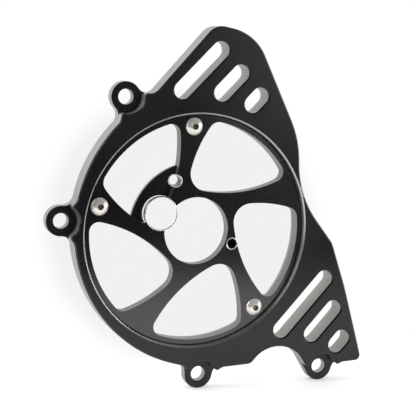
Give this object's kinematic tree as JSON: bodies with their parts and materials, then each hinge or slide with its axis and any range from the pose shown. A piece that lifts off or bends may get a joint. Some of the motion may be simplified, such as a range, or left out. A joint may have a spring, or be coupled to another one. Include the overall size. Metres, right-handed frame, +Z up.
{
  "type": "motorcycle front sprocket cover",
  "caption": "Milled motorcycle sprocket cover with mounting ears, vent slots and a recessed spoke insert held by button-head screws.",
  "frame": {"origin": "axis of the round spoke insert, in the back plane that meets the engine", "axes": "+Z up as the cover stands, +X to the right seen from the front, front face towards -Y"},
  "size_m": [0.1507, 0.0095, 0.1679],
  "materials": {
    "black_anodised": "satin black anodised, milled",
    "insert_anodised": "satin black anodised, milled",
    "stainless": "bright stainless",
    "bright_ring": "bright turned metal"
  },
  "bodies": {
    "root": {"main_plate": "black_anodised", "spoke_insert": "insert_anodised", "screw_top": "stainless", "screw_left": "stainless", "screw_lower": "stainless", "collar_ring": "bright_ring", "upper_bush": "bright_ring", "lower_bush": "bright_ring"}
  },
  "joints": []
}
